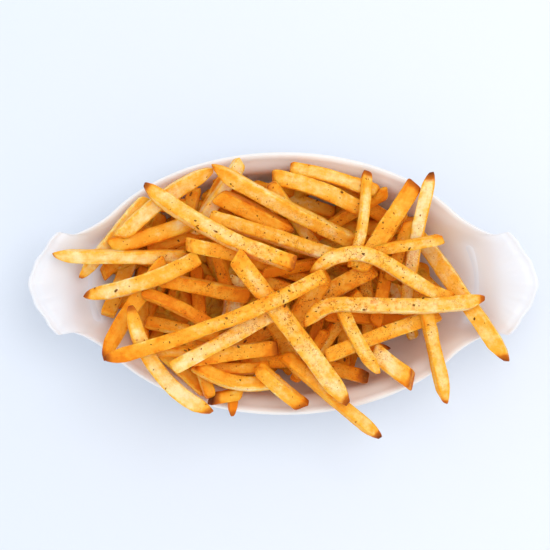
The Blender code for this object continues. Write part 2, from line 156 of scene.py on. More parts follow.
# One row for each fry that shows: layer, width, first end x and y, last end x and y, bow, how
# golden it is at each end (0 pale, 1 deep orange), and both tips. A tip is P pointed, R rounded or
# C cut, and a digit from 0 to 9 for how brown it is.
FRIES = (
    # top left, and the long ones that lie across everything
    (8, 8.9, -65, 46, 5, 9, -3.8, 0.46, 0.40, "P9", "C7"),
    (7, 8.9, -33, 54, 32, 20, -0.8, 0.36, 0.42, "P4", "C3"),
    (6, 8.6, -33, 53, -76, 22, -2.6, 0.35, 0.30, "P3", "R2"),
    (4, 7.0, -64, 40, -95, 3, -0.6, 0.15, 0.20, "R1", "P6"),
    (3, 7.0, -57, 31, -85, 5, 0, 0.50, 0.50, "R2", "C3"),
    (6, 7.5, -107, 13.4, -46, 12.6, -0.6, 0.08, 0.40, "P5", "R1"),
    (5, 8.5, -81, 17, -38, 31, -1, 0.58, 0.55, "R3", "R3"),
    (4, 6.6, -63, 16, -30, 26, 0, 0.75, 0.70, "R4", "R4"),
    (7, 8.0, -92, -5, -40, 12, -3, 0.14, 0.48, "P9", "C2"),
    (7.5, 7.0, -44, 18, -20, 13, 0, 0.50, 0.50, "C3", "R3"),
    (9, 8.2, -83, -35, 19, 4, -3.6, 0.60, 0.30, "P9", "R2"),
    (8, 10.3, -22, 12, 30, -56, 0.3, 0.42, 0.16, "C2", "P8"),
    (5, 10.3, -22, 3, -25, -21, 0, 0.05, 0.05, "R2", "C2"),
    (4, 7.8, -20, 57, -42, 24, 0.2, 0.15, 0.20, "R2", "R2"),
    (3, 7.5, -42, 44, -50, 6, 0, 0.40, 0.40, "R2", "R2"),
    # upper middle
    (5, 7.5, 3, 54, 44, 43, 1.1, 0.48, 0.50, "R6", "R3"),
    (5, 8.0, -5, 50, 36, 35, 1.9, 0.52, 0.56, "R3", "R3"),
    (4, 7.5, -14, 46, 24, 33, 0, 0.56, 0.56, "R4", "R4"),
    (5, 6.6, -6, 47, 18, 13, 0, 0.40, 0.55, "R5", "R4"),
    (6, 9.4, -31, 41, 3, 24, 0.6, 0.55, 0.62, "R2", "R8"),
    (7, 8.0, -34, 31, 24, 13, 0.1, 0.42, 0.30, "R2", "R2"),
    (5, 6.6, -10, 5, 35, 13, 0, 0.80, 0.80, "R4", "R4"),
    (4, 6.6, -18, 11, 20, 0, 0, 0.85, 0.85, "R4", "R4"),
    (4, 6.6, -16, 5, 14, -7, 0, 0.85, 0.85, "R4", "R4"),
    # right
    (8, 7.6, 14, 5, 78, -5, 13.8, 0.30, 0.42, "P4", "R3"),
    (9, 7.4, 94, -7, 13, -15, -3.2, 0.14, 0.42, "P8", "P5"),
    (7, 8.9, 65, 21, 104, -36, 0.6, 0.26, 0.26, "R2", "P8"),
    (7.5, 6.1, 74, 21, 42, 15, 0, 0.32, 0.32, "R4", "R3"),
    (7, 6.6, 69, 52, 58, -8, -1.1, 0.10, 0.36, "P9", "R3"),
    (6, 8.6, 61, 46, 35, 6, 0, 0.40, 0.42, "C7", "R3"),
    (7, 5.9, 39, 52, 32, 8, 1.7, 0.28, 0.48, "R8", "R3"),
    (4, 7.0, 49, 43, 12, 20, -0.8, 0.56, 0.66, "R4", "R4"),
    (5, 9.4, 42, 7, 12, -9, 0, 0.50, 0.55, "R3", "R3"),
    (4, 6.6, 38, 12, 41, -30, 0, 0.60, 0.60, "R3", "R3"),
    (5, 6.6, 50, 12, 43, -20, 0, 0.75, 0.70, "R3", "R3"),
    (7, 10.3, 20, 5, 3, -22, 0, 0.72, 0.72, "R3", "R3"),
    (5, 6.6, 57, 34, 38, 9, 0, 0.60, 0.60, "R4", "R4"),
    (5, 7.0, 60, 30, 50, 2, 0, 0.66, 0.66, "R4", "R4"),
    (3, 7.0, -28, 50, -44, 20, 0, 0.55, 0.60, "R4", "R4"),
    (3, 7.0, 20, 48, 50, 30, 0, 0.60, 0.60, "R4", "R4"),
    # lower right
    (8, 7.0, 27, -11, 44, -42, -1, 0.42, 0.14, "R2", "P4"),
    (6, 7.5, 80, -12, 20, -34, -0.9, 0.50, 0.45, "R2", "R3"),
    (6, 7.8, 65.5, -8, 76, -56, 0.1, 0.55, 0.35, "R2", "P6"),
    (5, 9.2, 28, -21, 59.5, -45, 0.9, 0.25, 0.42, "R1", "C5"),
    (4, 5.2, 5, -32, 50, -30, 0, 0.90, 0.95, "R5", "P9"),
    (3, 6.6, 52, 0, 62, -26, 0, 0.20, 0.20, "R3", "R3"),
    (4, 7.5, -5, -33, 39, -44, 0, 0.75, 0.75, "R4", "R8"),
    (4, 5.6, 20, -5, 11, -40, 0, 0.95, 0.95, "R5", "R5"),
    (4, 7.0, 36, -4, 8, -44, 0, 0.60, 0.60, "R3", "R3"),
    (3, 7.0, 30, -5, 28, -40, 0, 0.70, 0.70, "R3", "R3"),
    (4, 6.6, 20, -15, 62, -18, 0, 0.80, 0.80, "R4", "R4"),
    (5, 8.5, -7, -14, 9, -43, 0, 0.45, 0.45, "R3", "R3"),
    (5, 7.0, -20, -37, 4, -36, 0, 0.60, 0.60, "R3", "R7"),
    (4, 5.6, 20, -22, 5, -46, 0, 0.85, 0.85, "R4", "R4"),
    (7, 7.5, 0, -33, 45.5, -72.5, -0.3, 0.52, 0.16, "R3", "P9"),
    # lower left
    (7, 8.5, -22, -30, 9, -57, 1.5, 0.46, 0.48, "R3", "C8"),
    (6, 8.0, -41, -38, -2, -45, -4.8, 0.42, 0.36, "R4", "R4"),
    (6, 7.5, -42, -35, -3, -30, 0.3, 0.42, 0.42, "R4", "C8"),
    (5, 6.1, -42, -37, -7, -39, -1.9, 0.60, 0.60, "R4", "R4"),
    (4, 6.6, -32, -34, 5, -18, 0, 0.60, 0.60, "R4", "R4"),
    (7.5, 7.8, -51, -39, -3, -13, -0.1, 0.06, 0.36, "C3", "C3"),
    (6, 5.6, -67, -32, -38, -31, 0, 0.50, 0.50, "P6", "R4"),
    (7, 7.8, -71, -11, -34, -60, -7.8, 0.44, 0.26, "P9", "P6"),
    (6, 8.0, -84, -34, -55, 10, 1.7, 0.58, 0.50, "P9", "R3"),
    (2, 7.5, -83, -15, -70, 16, 0.3, 0.35, 0.35, "C2", "R3"),
    (6, 7.0, -66, -4, -32, -21, 1.3, 0.64, 0.62, "R4", "R4"),
    (5, 7.0, -65, -18, -30, -26, 0.4, 0.66, 0.66, "R4", "R4"),
    (6, 8.0, -57, 2, -16, -6, 0, 0.62, 0.58, "R4", "R4"),
    (4, 6.6, -41, 8, -38, -30, 0, 0.95, 0.95, "R5", "R5"),
    (5, 6.6, -33, 20, -26, -4, 0, 0.85, 0.85, "R4", "R4"),
    (3, 6.6, -5, -49, -34, -54, 0, 0.60, 0.60, "R4", "C9"),
    (2, 5.6, -23, -38, -24, -62, 0, 0.80, 0.80, "R4", "P7"),
    (3, 6.6, -44, -25, -34, -53, 0, 0.60, 0.60, "R4", "R4"),
)

# By place in the list: the way along which some of them run in the scene, which follows the photo more
# closely than a bow, and the share of their width that some have.
PATHS = {
    24: ((13.5, 5.2), (18, 9), (24, 12.3), (33, 14), (42, 12.4),
         (51, 7.5), (60, 1.6), (69, -3.6), (79, -7.5)),
    25: ((93.4, -7.2), (84, -9), (70, -10.2), (50, -10.4), (25, -10), (16, -13), (9.5, -19)),
    41: ((73, -14.6), (48, -23), (20, -34)),
    43: ((42.5, -31.8), (51, -38.6), (60, -45.3)),
    55: ((-12, -39), (-2, -48.4), (9, -57)),
    70: ((-19, -51.4), (-34, -54)),
}
SLIM = {10: 0.88, 11: 0.93, 25: 1.1, 60: 0.92}
SHARE_OF_WIDTH = 0.965

# Fries in the shade below, which close gaps: ends, and tone.
SHADED = (
    (-58, -32, -37, -50, 0.66),
    (59, 9, 77, -8, 0.48),
    (-60, 37, -34, 36, 0.60),
    (-32, 47, 4, 43, 0.62),
    (30, 34, 62, 26, 0.60),
    (44, 10, 68, 6, 0.62),
    (38, -8, 64, -2, 0.66),
)

# Shape of a tip: its length and its end's size over the fry's width, and how far a cut end leans.
TIP_REACH = {"P": 1.25, "R": 0.34, "C": 0.16}
TIP_LEAST = {"P": 0.26, "R": 0.55, "C": 0.82}
TIP_LEAN = {"P": 1.2, "R": 0.55, "C": 0.5}
END_STATIONS = (0.0, 0.25, 0.6, 1.1, 1.8, 2.7, 3.8)
HIGHEST = CAD_BOX[1][2] / MM - 0.1
SWAY = 0.35
MOST_ROLL = 24.0

# How golden and how burnt fries are. The pairs: at a tip that isn't brown, and what the brownest adds.
TIP_TONE = (0.10, 0.34)
TIP_TONE_REACH = (5.0, 6.0)
BURN_REACH = (1.0, 4.2)
BURN_POWER = (1.6, -0.7)
FACE_TONES = 0.17
# Painted shade: tone added on the sides and undersides of fries, which face away from the light above.
SIDE_PAINTED_SHADE = 0.32
# Painted shade: tone added to the parts of fries that lie deep below the mound's top.
DEPTH_PAINTED_SHADE = 0.22

SHADED_WIDTH = 7.4
FILLER_COUNT = 130  # with the shaded ones
FILLER_WIDTHS = (6.4, 8.6)
FILLER_HALF_LENGTHS = (18.0, 32.0)
FILLER_TONES = (0.45, 0.85)
FILLER_MARGIN = (12.0, 9.0)
FILLER_LAYERS = (0.5, 7.5)  # how deep they lie, by turns
FILLER_CENTRE = (-6.0, 0.0)
FILLER_HALF_SIZE = (72.0, 39.0)
BARE_CORNER = (34.0, -20.0)  # beyond this the dish shows its bare inside
CORE_DROP = 13.0
CORE_SPOKES = 96
CORE_RINGS = 12
CORE_LUMPS = 1.6
# The core stands for the fries deep in the heap: its deep orange tone is partly their colour and partly
# painted shade.
CORE_LOOK = {"tone": 0.9, "brown": 0.15, "edge": 0.0, "dust": 0.5}
SECTION_ANGLES = (-24, -10, -3.5, 3.5, 10, 24, 45)  # of a fry's points, from each of its corners
STEP = 1.6
FILLER_ANGLES = (-10, 10, 45)
FILLER_STEP = 4.0
SKIN_RELIEF = 0.32

DUST_CENTRE = (18.0, -6.0)
DUST_HALF_SIZE = (62.0, 40.0)
PEPPER_COUNT = 100
PEPPER_SIZES = (0.35, 1.5, 0.5)
PAPRIKA_COUNT = 650
PAPRIKA_SIZES = (0.3, 0.75, 0.35)
FLECK_CENTRE = (4, 0)
FLECK_SPREAD = (42, 27)
FLECK_LIMIT = (108, 74)
FLECK_FLATNESS = 0.25
LONGEST_FLECK = 2.3
STEEPEST_HOLD = 0.25  # least upward part of a surface's direction on which a fleck stays


# ---------------------------------------------------------------- outlines, as in the CAD model
def smooth_step(value):
    value = min(max(value, 0.0), 1.0)
    return value * value * (3 - 2 * value)


def bezier(points, count):
    """count points along a cubic curve, without its first point."""
    t = (np.arange(count) + 1)[:, None] / count
    a, b, c, d = (np.array(p, dtype=float) for p in points)
    return list(a * (1 - t) ** 3 + b * 3 * t * (1 - t) ** 2 + c * 3 * t * t * (1 - t) + d * t ** 3)


def end_arc(tip_x, radius, angle, count):
    """Points of an arc that starts square to the X axis at tip_x."""
    turns = [math.radians(angle) * i / count for i in range(count + 1)]
    return [np.array((tip_x - radius + radius * math.cos(t), radius * math.sin(t))) for t in turns]


def oval_arc(half_length, half_width, start_x, count):
    """From the point of an oval at start_x to the end of its short axis."""
    first = math.acos(start_x / half_length)
    turns = [first + (math.pi / 2 - first) * (i + 1) / count for i in range(count)]
    return [np.array((half_length * math.cos(t), half_width * math.sin(t))) for t in turns]


def flank(start, leave, half_length, half_width, join_x, arrive, count):
    """A curve from start, with leave as its first handle, that runs smoothly into an oval at join_x."""
    turn = math.acos(join_x / half_length)
    join = np.array((join_x, half_width * math.sin(turn)))
    along = np.array((-half_length * math.sin(turn), half_width * math.cos(turn)))
    along = along / np.linalg.norm(along)
    return bezier((start, leave, join - arrive * along, join), count)


def outline_quarter(detail):
    """The dish seen from above, from the tip of a handle to the middle of a long side."""
    points = [np.array(EAR_TIP)]
    points += bezier((EAR_TIP, EAR_TIP_HANDLE, EAR_FLANK_HANDLE, EAR_CORNER), 6 * detail)
    points += bezier((EAR_CORNER, EAR_CORNER_HANDLE, NOTCH_HANDLE, EAR_NOTCH), 2 * detail)
    oval = RIM_HALF_LENGTH, RIM_HALF_WIDTH
    points += flank(EAR_NOTCH, EAR_LEAVE_HANDLE, *oval, FLANK_START, FLANK_ARRIVE, 2 * detail)
    points += oval_arc(*oval, FLANK_START, 5 * detail)
    return np.array(points)


def cavity_radius(angles):
    """Distance from the centre to the edge of the hollow, at angles between 0 and a quarter turn."""
    points = end_arc(CAVITY_TIP, CAVITY_END_RADIUS, CAVITY_END_ANGLE, 20)
    shoulder = points[-1]
    oval = CAVITY_HALF_LENGTH, CAVITY_HALF_WIDTH
    leave = shoulder + CAVITY_LEAVE_STEP
    points += flank(shoulder, leave, *oval, CAVITY_FLANK_START, CAVITY_FLANK_ARRIVE, 20)
    points += oval_arc(*oval, CAVITY_FLANK_START, 40)
    points = np.array(points)
    return np.interp(angles, np.arctan2(points[:, 1], points[:, 0]), np.hypot(points[:, 0], points[:, 1]))


def oval_radius(angles, half_length, half_width):
    return half_length * half_width / np.hypot(half_width * np.cos(angles), half_length * np.sin(angles))


def quarter_angles(quarter):
    """Steadily rising angles that follow the outline, for the rings inside it."""
    angles = np.arctan2(quarter[:, 1], quarter[:, 0])
    for i in range(1, len(angles)):
        angles[i] = max(angles[i], angles[i - 1] + math.radians(LEAST_TURN))
    return angles * (math.pi / 2) / angles[-1]


def polar(angles, radii):
    return np.column_stack((radii * np.cos(angles), radii * np.sin(angles)))


def all_round(quarter):
    """Mirrors a quarter ring into a whole one."""
    left = quarter[::-1][1:] * (-1, 1)
    half = np.vstack((quarter, left))
    return np.vstack((half, half[::-1][1:-1] * (1, -1)))


def ear_rise(x):
    return EAR_RISE * smooth_step((abs(x) - EAR_RISE_START) / EAR_RISE_LENGTH)


def flute(x, y):
    """Height of the ribs that fan out over a handle."""
    fan = math.atan2(y, abs(x) - FLUTE_HUB)
    fade = smooth_step((abs(x) - FLUTE_START) / FLUTE_FADE)
    return FLUTE_DEPTH * fade * math.cos(fan * 180 / EAR_FAN * (FLUTE_COUNT - 1) / 2)


def dish_rings(detail):
    """The rings of the dish, from the middle of its foot up the outside, over the rim and down inside."""
    quarter = outline_quarter(detail)
    angles = quarter_angles(quarter)
    outline = all_round(quarter)
    edge = all_round(polar(angles, cavity_radius(angles)))
    rings = []

    for half_length, half_width, height in OUTSIDE:
        points = all_round(polar(angles, oval_radius(angles, half_length, half_width)))
        rings.append([(x, y, height) for x, y in points])
    wall = np.array(rings[-1])[:, :2]
    under = (wall + outline) / 2
    rings.append([(x, y, RIM_HEIGHT - UNDER_RIM + ear_rise(x) / 2) for x, y in under])
    for outward, inset, depth, ribs in RIM:
        points = edge + (outline - edge) * outward
        points = points * (1 - inset / np.linalg.norm(points, axis=1)[:, None])
        height = RIM_HEIGHT - depth
        rings.append([(x, y, height + ear_rise(x) + ribs * flute(x, y)) for x, y in points])
    for half_length, half_width, height, roundness in INSIDE:
        round_ring = all_round(polar(angles, oval_radius(angles, half_length, half_width)))
        pointed_ring = edge * (half_length / CAVITY_TIP, half_width / CAVITY_HALF_WIDTH)
        points = round_ring * roundness + pointed_ring * (1 - roundness)
        rings.append([(x, y, height) for x, y in points])
    return rings


# ---------------------------------------------------------------- how the fries lie, as in the CAD model
def map_axes():
    x = np.arange(-MAP_HALF_LENGTH, MAP_HALF_LENGTH + CELL, CELL)
    y = np.arange(-MAP_HALF_WIDTH, MAP_HALF_WIDTH + CELL, CELL)
    return np.meshgrid(x, y)


def ring_radius(ring, angles):
    ring = np.array(ring)
    at = np.arctan2(ring[:, 1], ring[:, 0])
    order = np.argsort(at)
    return np.interp(angles, at[order], np.hypot(ring[:, 0], ring[:, 1])[order], period=2 * math.pi)


def dish_top(rings, x, y):
    """Height of the dish's upper side under each point, or 0 beside the dish."""
    angles = np.arctan2(y, x)
    distance = np.hypot(x, y)
    upper = rings[len(OUTSIDE) + 2:]
    height = np.zeros(x.shape)
    outer = ring_radius(upper[0], angles)
    outer_height = np.full(x.shape, RIM_HEIGHT + EAR_RISE / 2)
    for ring in upper[1:]:
        inner = ring_radius(ring, angles)
        level = max(p[2] for p in ring)
        share = np.clip((distance - inner) / np.maximum(outer - inner, 1e-6), 0, 1)
        inside = (distance <= outer) & (distance > inner)
        height = np.where(inside, level + (outer_height - level) * share, height)
        outer = inner
        outer_height = np.full(x.shape, level)
    return np.where(distance <= outer, rings[-1][0][2], height)


def mound(x, y):
    """The bulk of the heap, under the fries that show."""
    across = (x - MOUND_CENTRE[0]) / MOUND_HALF_SIZE[0]
    along = (y - MOUND_CENTRE[1]) / MOUND_HALF_SIZE[1]
    return MOUND_TOP * (1 - np.hypot(across, along) ** MOUND_POWER)


def fry_path(row, count):
    """Points along a fry in plan, and the distance of each from its first end."""
    x0, y0, x1, y1, bow = row[2:7]
    first = np.array((x0, y0), dtype=float)
    last = np.array((x1, y1), dtype=float)
    length = np.linalg.norm(last - first)
    left = np.array((-(last - first)[1], (last - first)[0])) / length
    t = np.linspace(0, 1, count)[:, None]
    path = first + (last - first) * t + left * bow * 4 * t * (1 - t)
    steps = np.linalg.norm(np.diff(path, axis=0), axis=1)
    return path, np.concatenate(([0], np.cumsum(steps)))


def rest_curve(distance, hard, soft):
    """Height, slope and bend of the lowest gently bent line that lies on its support."""
    along = distance - distance[-1] / 2
    best = None
    for slope in np.linspace(-MOST_SLOPE, MOST_SLOPE, SLOPES_TRIED):
        for bend in np.linspace(-MOST_BEND, MOST_BEND / 4, BENDS_TRIED):
            shape = (slope * along + bend * along ** 2)[:, None]
            room = soft - shape
            height = max((hard - shape).max(), room.max() - FRY_SINK, np.quantile(room, PRESSED_SHARE))
            mean = height + shape.mean()
            if best is None or mean < best[0]:
                best = (mean, height, slope, bend)
    return best[1:]


def to_left(path):
    """Level unit vectors to the left of a path, at each of its points."""
    heading = np.gradient(path, axis=0)
    return np.column_stack((-heading[:, 1], heading[:, 0])) / np.linalg.norm(heading, axis=1)[:, None]


def footprint(row):
    """The lines and columns of the height map under a fry, and how far along it each of them is."""
    path, distance = fry_path(row, 2 + int(math.dist(row[2:4], row[4:6]) / SAMPLE))
    across = np.linspace(-row[1] / 2, row[1] / 2, 2 + int(row[1] / SAMPLE))
    spread = path[:, None, :] + to_left(path)[:, None, :] * across[None, :, None]
    line = np.rint(spread[..., 1] / CELL + MAP_HALF_WIDTH).astype(int)
    column = np.rint(spread[..., 0] / CELL + MAP_HALF_LENGTH).astype(int)
    return line, column, distance


def lay_fries(rings):
    """Lays each fry on the dish, the mound and the fries laid before."""
    x, y = map_axes()
    hard = dish_top(rings, x, y) + FRY_CLEARANCE
    soft = mound(x, y)
    laid = {}
    for index in sorted(range(len(FRIES)), key=lambda i: FRIES[i][0]):
        row = FRIES[index]
        line, column, distance = footprint(row)
        height, slope, bend = rest_curve(distance, hard[line, column], soft[line, column])
        laid[index] = (height, slope, bend)
        along = distance - distance[-1] / 2
        top = height + slope * along + bend * along ** 2 + row[1] * FRY_DEPTH
        np.maximum.at(soft, (line, column), np.broadcast_to(top[:, None], line.shape))
    return laid


def fillers(rings, dice):
    """The fries inside the heap: rows like those of FRIES, and how each lies below the mound's top."""
    x, y = map_axes()
    hard = dish_top(rings, x, y) + FRY_CLEARANCE
    made = []
    for x0, y0, x1, y1, tone in SHADED:
        row = (1, SHADED_WIDTH, x0, y0, x1, y1, 0, tone, tone, "R4", "R4")
        line, column, distance = footprint(row)
        soft = mound(x[line, column], y[line, column]) - SHADED_WIDTH * FRY_DEPTH
        made.append((row, rest_curve(distance, hard[line, column], soft)))
    while len(made) < FILLER_COUNT:
        turn = dice.uniform(0, 2 * math.pi)
        reach = math.sqrt(dice.random())
        middle_x = FILLER_CENTRE[0] + FILLER_HALF_SIZE[0] * reach * math.cos(turn)
        middle_y = FILLER_CENTRE[1] + FILLER_HALF_SIZE[1] * reach * math.sin(turn)
        heading = dice.uniform(0, math.pi)
        half = dice.uniform(*FILLER_HALF_LENGTHS)
        width = dice.uniform(*FILLER_WIDTHS)
        ends = (middle_x - half * math.cos(heading), middle_y - half * math.sin(heading),
                middle_x + half * math.cos(heading), middle_y + half * math.sin(heading))
        most = [FILLER_HALF_SIZE[i] + FILLER_MARGIN[i] for i in (0, 1)]
        shares = [math.hypot((ends[k] - FILLER_CENTRE[0]) / most[0],
                             (ends[k + 1] - FILLER_CENTRE[1]) / most[1]) for k in (0, 2)]
        bare = [ends[k] > BARE_CORNER[0] and ends[k + 1] < BARE_CORNER[1] for k in (0, 2)]
        if max(shares) > 1 or any(bare):
            continue
        tone = dice.uniform(*FILLER_TONES)
        row = (1, width, *ends, dice.uniform(-2, 2), tone, tone, "R3", "R3")
        line, column, distance = footprint(row)
        drop = width * FRY_DEPTH + FILLER_LAYERS[len(made) % 2] + dice.uniform(0, 2)
        soft = mound(x[line, column], y[line, column]) - drop
        made.append((row, rest_curve(distance, hard[line, column], soft)))
    return made


# ---------------------------------------------------------------- one fry
def smooth_path(stops, count):
    """Points of a smooth curve through stops, and the distance of each from the first."""
    stops = np.array(stops, dtype=float)
    padded = np.vstack((2 * stops[0] - stops[1], stops, 2 * stops[-1] - stops[-2]))
    made = []
    for a, b, c, d in zip(padded, padded[1:], padded[2:], padded[3:]):
        for t in np.linspace(0, 1, 20, endpoint=False):
            made.append(((2 * b) + (c - a) * t + (2 * a - 5 * b + 4 * c - d) * t ** 2
                         + (3 * b - a - 3 * c + d) * t ** 3) / 2)
    made = np.array(made + [stops[-1]])
    distance = np.concatenate(([0], np.cumsum(np.linalg.norm(np.diff(made, axis=0), axis=1))))
    even = np.linspace(0, distance[-1], count)
    return along_curve(even, distance, made), even


def tip_scale(kind, distance, width):
    """How much of its full section a fry has at a distance from one end."""
    reach = TIP_REACH[kind] * width
    least = TIP_LEAST[kind]
    share = min(distance / reach, 1.0)
    if kind == "P":
        return least + (1 - least) * math.sin(share * math.pi / 2) ** 0.8
    return least + (1 - least) * math.sqrt(1 - (1 - share) ** 2)


def stations(length, step):
    """Distances along a fry, closer together near its ends."""
    middle = np.linspace(END_STATIONS[-1], length - END_STATIONS[-1], max(3, int(length / step)))
    last = [length - s for s in END_STATIONS[-2::-1]]
    return np.array(list(END_STATIONS[:-1]) + list(middle) + last)


def section(spread, squareness):
    """Points of a rounded square, one unit from its middle to each side, at angles from each corner."""
    turns = np.radians([45 + 90 * k + degrees for k in range(4) for degrees in spread])
    c = np.cos(turns)
    s = np.sin(turns)
    size = (np.abs(c) ** squareness + np.abs(s) ** squareness) ** (-1 / squareness)
    return np.column_stack((c * size, s * size))


def along_curve(at, distance, values):
    return np.column_stack([np.interp(at, distance, values[:, k]) for k in range(values.shape[1])])


def smooth_noise(values, seed, dice_row):
    """Slow random wandering between -1 and 1 along a row of values."""
    return np.array([noise.noise(Vector((v, seed, dice_row))) for v in values])


def at_level(pair, level):
    return pair[0] + pair[1] * level


class FryMesh:
    """Gathers many fries in one mesh, with what their colour needs at each point."""

    def __init__(self):
        self.points = []
        self.faces = []
        self.colour = {"tone": [], "brown": [], "edge": [], "dust": []}
        self.skin = []
        self.count = 0

    def add(self, row, rest, seed, angles, step, by_way_of=None, slim=1.0):
        dice = random.Random(seed)
        width = row[1]
        path, distance = fry_path(row, 161)
        middle_at = distance[-1] / 2
        if by_way_of:
            middle_at -= math.dist(by_way_of[0], row[2:4])
            path, distance = smooth_path(by_way_of, 161)
        length = distance[-1]
        height, slope, bend = rest
        at = stations(length, step)
        along = at - middle_at
        tangent = along_curve(at, distance, np.gradient(path, distance, axis=0))
        tangent = np.column_stack((tangent, slope + 2 * bend * along))
        tangent /= np.linalg.norm(tangent, axis=1)[:, None]
        side = np.column_stack((-tangent[:, 1], tangent[:, 0], np.zeros(len(at))))
        side /= np.linalg.norm(side, axis=1)[:, None]
        up = np.cross(tangent, side)
        middle = along_curve(at, distance, path)
        middle = np.column_stack((middle, height + slope * along + bend * along ** 2 + width * FRY_DEPTH / 2))
        middle += side * (SWAY * smooth_noise(at * 0.05, seed, 1))[:, None]

        roll = math.radians(dice.uniform(-MOST_ROLL, MOST_ROLL)) + 0.16 * smooth_noise(at * 0.03, seed, 2)
        flat = dice.uniform(0.80, 0.94)
        outline = section(angles, dice.uniform(7, 12)) * (1, flat)
        span = np.abs(np.cos(roll)) + flat * np.abs(np.sin(roll))
        half = width / 2 / span * SHARE_OF_WIDTH * (1 + 0.07 * smooth_noise(at * 0.07, seed, 3)) * slim
        half *= [min(tip_scale(row[9][0], s, width), tip_scale(row[10][0], length - s, width)) for s in at]

        across = outline[None, :, 0] * half[:, None]
        raised = outline[None, :, 1] * half[:, None]
        turned = across * np.cos(roll)[:, None] - raised * np.sin(roll)[:, None]
        lifted = across * np.sin(roll)[:, None] + raised * np.cos(roll)[:, None]
        slant = self.slants(at, length, row, dice)
        forward = slant[0][:, None] * across + slant[1][:, None] * raised
        out = side[:, None, :] * turned[..., None] + up[:, None, :] * lifted[..., None]
        points = middle[:, None, :] + out + tangent[:, None, :] * forward[..., None]
        out /= np.maximum(np.linalg.norm(out, axis=2), 1e-6)[..., None]
        points += out * self.relief(points, seed)[..., None]
        points[..., 2] -= max(0.0, points[..., 2].max() - HIGHEST)
        self.store(points, out[..., 2], at, length, row, outline, half, seed, dice)

    def slants(self, at, length, row, dice):
        """How far the cut ends lean, across and along their height, at each station."""
        lean = np.zeros((2, len(at)))
        for reach, tip in ((at, row[9]), (length - at, row[10])):
            most = TIP_LEAN[tip[0]]
            near = np.clip(1 - reach / (1.2 * row[1]), 0, 1) ** 1.5
            lean += np.array([[dice.uniform(-most, most)], [dice.uniform(-most, most)]]) * near
        return lean

    def relief(self, points, seed):
        """Small bumps and hollows of the skin."""
        broad = [noise.noise(Vector(p) * 0.24) for p in points.reshape(-1, 3)]
        fine = [noise.noise(Vector((*p[:2] * 0.7, p[2] * 0.7 + seed))) for p in points.reshape(-1, 3)]
        rough = 0.6 * np.array(broad) + 0.4 * np.array(fine)
        return rough.reshape(points.shape[:2]) * SKIN_RELIEF

    def store(self, points, facing_up, at, length, row, outline, half, seed, dice):
        """Adds the rings, their colours (with painted shade on sides and on deep-lying parts), the faces
        between them and both caps.
        """
        count, around = points.shape[:2]
        start = len(self.points)
        self.points.extend(map(tuple, points.reshape(-1, 3)))
        corner = np.abs(outline).prod(axis=1)
        corner = (corner / corner.max()) ** 2
        faces = [dice.uniform(-FACE_TONES, FACE_TONES) for _ in range(4)]
        turns = np.arctan2(outline[:, 1], outline[:, 0])
        face = ((turns + math.pi / 4) // (math.pi / 2)).astype(int) % 4
        by_face = np.array([faces[k] for k in face])
        tone = row[7] + (row[8] - row[7]) * at / length
        for reach, tip in ((at, row[9]), (length - at, row[10])):
            level = int(tip[1]) / 9
            near = np.clip(1 - reach / at_level(TIP_TONE_REACH, level), 0, 1)
            tone = tone + at_level(TIP_TONE, level) * near
        # Painted shade: faces that look sideways or down are drawn deeper orange.
        under = SIDE_PAINTED_SHADE * np.clip(0.4 - facing_up, 0, 1)
        # Painted shade: the deeper a point lies below the mound's top, the deeper orange it is drawn.
        buried_shade = DEPTH_PAINTED_SHADE * np.clip((mound(points[..., 0], points[..., 1]) - points[..., 2] - 4) / 14, 0, 1)
        self.colour["tone"].extend((tone[:, None] + by_face[None, :] + under + buried_shade).ravel())
        self.colour["edge"].extend(np.broadcast_to(corner, (count, around)).ravel())
        burn = np.zeros((count, around))
        for reach, tip in ((at, row[9]), (length - at, row[10])):
            level = int(tip[1]) / 9
            near = np.clip(1 - reach / at_level(BURN_REACH, level), 0, 1)
            middle = 1.0 if tip[0] == "P" or level > 0.7 else 0.7
            spread = level * near ** at_level(BURN_POWER, level)
            burn = np.maximum(burn, spread[:, None] * (middle + (1 - middle) * corner)[None, :])
        self.colour["brown"].extend(burn.ravel())
        away = np.hypot((points[..., 0] - DUST_CENTRE[0]) / DUST_HALF_SIZE[0],
                        (points[..., 1] - DUST_CENTRE[1]) / DUST_HALF_SIZE[1])
        self.colour["dust"].extend(np.exp(-away ** 2).ravel())
        skin = np.empty((count, around, 3))
        skin[..., 0] = at[:, None]
        skin[..., 1] = outline[None, :, 0] * half[:, None]
        skin[..., 2] = outline[None, :, 1] * half[:, None]
        skin += (seed * 37.0, seed * 11.0, 0)
        self.skin.extend((skin * MM).reshape(-1, 3))
        for r in range(count - 1):
            for i in range(around):
                j = (i + 1) % around
                near = start + r * around
                far = near + around
                self.faces.append((near + i, near + j, far + j, far + i))
        self.cap(start, around, True)
        self.cap(start + (count - 1) * around, around, False)
        self.count += 1

    def cap(self, first, around, flip):
        """Closes an end with a ring halfway in and a point in the middle."""
        ring = np.array(self.points[first:first + around])
        middle = ring.mean(axis=0)
        half = len(self.points)
        self.points.extend(map(tuple, middle + (ring - middle) * 0.55))
        self.points.append(tuple(middle))
        centre = len(self.points) - 1
        for k in list(range(around)) + [0]:
            for values in self.colour.values():
                values.append(values[first + k])
            self.skin.append(self.skin[first + k])
        for i in range(around):
            j = (i + 1) % around
            outer = (first + i, first + j, half + j, half + i)
            inner = (half + i, half + j, centre)
            self.faces.append(outer[::-1] if flip else outer)
            self.faces.append(inner[::-1] if flip else inner)

    def make(self, name, material):
        return new_piece(name, self.points, self.faces, material, {**self.colour, "skin": self.skin})


def fix_normals(mesh):
    work = bmesh.new()
    work.from_mesh(mesh)
    bmesh.ops.recalc_face_normals(work, faces=work.faces[:])
    work.to_mesh(mesh)
    work.free()


